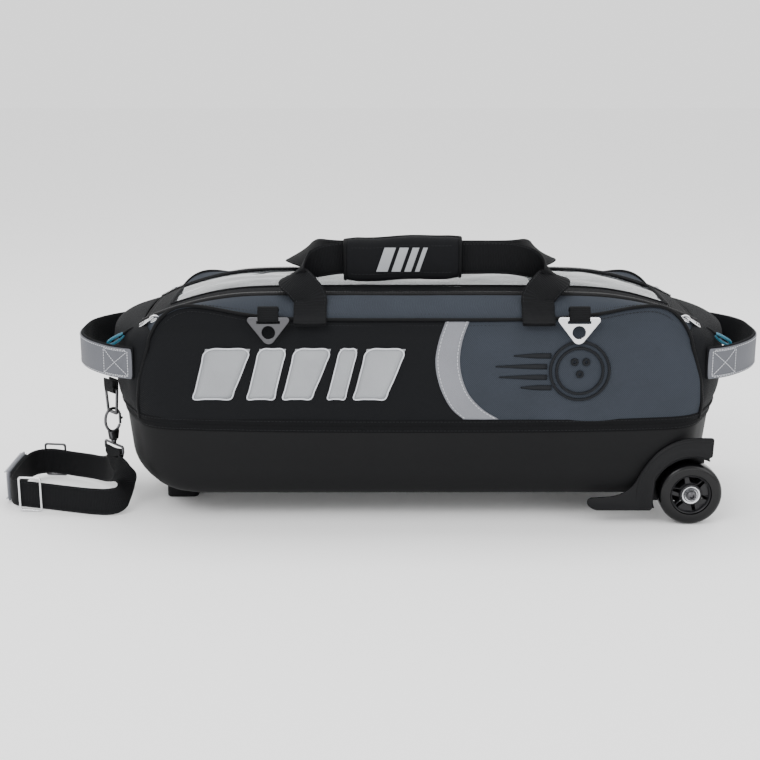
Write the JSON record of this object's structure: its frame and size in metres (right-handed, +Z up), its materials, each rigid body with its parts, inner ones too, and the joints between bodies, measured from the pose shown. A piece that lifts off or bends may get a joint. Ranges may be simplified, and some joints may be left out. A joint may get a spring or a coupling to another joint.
{
  "type": "rolling bowling bag",
  "caption": "Long soft-sided rolling bag for bowling balls: moulded tub, wheels at one end, clear zipped lid, carry and grab handles, clip-on tow strap.",
  "frame": {"origin": "on the floor, under the centre of the bag's box without the tow strap", "axes": "+Z up, +X towards the wheels, -Y towards the front face with the rings"},
  "size_m": [1.0348, 0.2892, 0.3725],
  "materials": {
    "tub": "matt, fine grain",
    "board": "matt",
    "foam": "matt foam",
    "black_cloth": "matt twill",
    "grey_cloth": "matt twill",
    "silver_cloth": "satin weave",
    "piping": "matt",
    "zip_tape": "satin coil",
    "moulding": "satin",
    "lid_binding": "matt",
    "clear_vinyl": "clear, glossy",
    "webbing": "ribbed weave",
    "wrap_cloth": "matt twill",
    "gunmetal": "dark polished",
    "chrome": "polished",
    "tyre": "satin urethane",
    "hub": "satin",
    "bearing": "bright steel",
    "teal_cord": "translucent, satin"
  },
  "bodies": {
    "root": {"lower_tub": "tub", "base_board": "board", "ball_tray": "foam", "divider_left": "foam", "divider_right": "foam", "front_panel": "black_cloth", "rear_panel": "black_cloth", "left_end_panel": "black_cloth", "right_end_panel": "black_cloth", "front_gusset": "grey_cloth", "rear_gusset": "grey_cloth", "front_piping": "piping", "rear_piping": "piping", "front_zip_chain": "zip_tape", "rear_zip_chain": "zip_tape", "stand_foot": "moulding", "kick_plate_front": "moulding", "kick_plate_rear": "moulding", "grab_handle_left": "silver_cloth", "grab_handle_right": "silver_cloth", "ring_loop_left": "webbing", "ring_loop_right": "webbing", "tow_tab": "webbing", "axle_bolt_front": "gunmetal", "axle_bolt_rear": "gunmetal"},
    "front_wheel": {"wheel_tyre_front": "tyre", "wheel_hub_front": "hub", "wheel_bearing_front": "bearing"},
    "rear_wheel": {"wheel_tyre_rear": "tyre", "wheel_hub_rear": "hub", "wheel_bearing_rear": "bearing"},
    "lid": {"lid_frame": "lid_binding", "lid_window": "clear_vinyl"},
    "front_handle": {"front_handle_webbing": "webbing", "handle_wrap": "wrap_cloth"},
    "rear_handle": {"rear_handle_webbing": "webbing"},
    "left_ring": {"triangle_ring_left": "gunmetal"},
    "right_ring": {"triangle_ring_right": "chrome"},
    "tow_link": {"tow_ring": "gunmetal"},
    "tow_hook": {"snap_hook": "gunmetal"},
    "tow_gate": {"hook_gate": "gunmetal"},
    "tow_line": {"swivel_eye": "gunmetal", "tow_strap": "webbing", "strap_slider_near": "chrome", "strap_slider_far": "gunmetal", "strap_grip": "silver_cloth"},
    "front_left_slider": {"zip_slider_front_left": "gunmetal"},
    "front_left_pull": {"pull_tab_front_left": "chrome", "pull_loop_front_left": "teal_cord"},
    "rear_left_slider": {"zip_slider_rear_left": "gunmetal"},
    "rear_left_pull": {"pull_tab_rear_left": "chrome", "pull_loop_rear_left": "teal_cord"},
    "front_right_slider": {"zip_slider_front_right": "gunmetal"},
    "front_right_pull": {"pull_tab_front_right": "chrome", "pull_loop_front_right": "teal_cord"},
    "rear_right_slider": {"zip_slider_rear_right": "gunmetal"},
    "rear_right_pull": {"pull_tab_rear_right": "chrome", "pull_loop_rear_right": "teal_cord"}
  },
  "joints": [
    {"name": "front_wheel_spin", "type": "hinge", "parent": "root", "child": "front_wheel", "pos_m": [0.36, -0.123, 0.042], "axis": [0, 1, 0], "continuous": true},
    {"name": "rear_wheel_spin", "type": "hinge", "parent": "root", "child": "rear_wheel", "pos_m": [0.36, 0.123, 0.042], "axis": [0, 1, 0], "continuous": true},
    {"name": "lid_open", "type": "hinge", "parent": "root", "child": "lid", "pos_m": [0, 0.095, 0.305], "axis": [-1, 0, 0], "range_deg": [0, 105]},
    {"name": "front_handle_fold", "type": "hinge", "parent": "root", "child": "front_handle", "pos_m": [0, -0.1395, 0.274], "axis": [1, 0, 0], "range_deg": [0, 211]},
    {"name": "rear_handle_fold", "type": "hinge", "parent": "root", "child": "rear_handle", "pos_m": [0, 0.1395, 0.274], "axis": [-1, 0, 0], "range_deg": [0, 211]},
    {"name": "left_ring_swing", "type": "hinge", "parent": "root", "child": "left_ring", "pos_m": [-0.195, -0.1404, 0.281], "axis": [-1, 0, 0], "range_deg": [0, 60]},
    {"name": "right_ring_swing", "type": "hinge", "parent": "root", "child": "right_ring", "pos_m": [0.203, -0.1404, 0.281], "axis": [-1, 0, 0], "range_deg": [0, 60]},
    {"name": "tow_ring_swing", "type": "hinge", "parent": "root", "child": "tow_link", "pos_m": [-0.417, -0.057, 0.166], "axis": [-0.6691, 0.7431, 0], "range_deg": [0, 45]},
    {"name": "snap_hook_swing", "type": "hinge", "parent": "tow_link", "child": "tow_hook", "pos_m": [-0.417, -0.057, 0.1338], "axis": [-0.6691, 0.7431, 0], "range_deg": [0, 30]},
    {"name": "hook_gate_press", "type": "hinge", "parent": "tow_hook", "child": "tow_gate", "pos_m": [-0.40882, -0.04964, 0.1169], "axis": [0.6691, -0.7431, 0], "range_deg": [0, 28], "stiffness_Nm_per_rad": 0.02},
    {"name": "hook_swivel", "type": "hinge", "parent": "tow_hook", "child": "tow_line", "pos_m": [-0.417, -0.057, 0.0835], "axis": [0, 0, 1], "range_deg": [-18, 18]},
    {"name": "front_left_slider_travel", "type": "slide", "parent": "root", "child": "front_left_slider", "axis": [0.8798, -0.1383, 0.4547], "range_m": [0, 0.02]},
    {"name": "front_left_pull_lift", "type": "hinge", "parent": "front_left_slider", "child": "front_left_pull", "pos_m": [-0.34972, -0.0995, 0.27407], "axis": [0.0163, 0.965, 0.2619], "range_deg": [0, 95]},
    {"name": "rear_left_slider_travel", "type": "slide", "parent": "root", "child": "rear_left_slider", "axis": [0.8789, 0.1381, 0.4566], "range_m": [0, 0.02]},
    {"name": "rear_left_pull_lift", "type": "hinge", "parent": "rear_left_slider", "child": "rear_left_pull", "pos_m": [-0.34974, 0.09948, 0.27406], "axis": [-0.0171, 0.9657, -0.2592], "range_deg": [0, 95]},
    {"name": "front_right_slider_travel", "type": "slide", "parent": "root", "child": "front_right_slider", "axis": [-0.8789, -0.1381, 0.4566], "range_m": [0, 0.02]},
    {"name": "front_right_pull_lift", "type": "hinge", "parent": "front_right_slider", "child": "front_right_pull", "pos_m": [0.34974, -0.09948, 0.27406], "axis": [0.0171, -0.9657, -0.2592], "range_deg": [0, 95]},
    {"name": "rear_right_slider_travel", "type": "slide", "parent": "root", "child": "rear_right_slider", "axis": [-0.8798, 0.1383, 0.4547], "range_m": [0, 0.02]},
    {"name": "rear_right_pull_lift", "type": "hinge", "parent": "rear_right_slider", "child": "rear_right_pull", "pos_m": [0.34972, 0.0995, 0.27407], "axis": [-0.0163, -0.965, 0.2619], "range_deg": [0, 95]}
  ],
  "couplings": [
    {"joint": "front_handle_fold", "follows": "lid_open", "ratio": 2},
    {"joint": "rear_handle_fold", "follows": "lid_open", "ratio": 2}
  ]
}
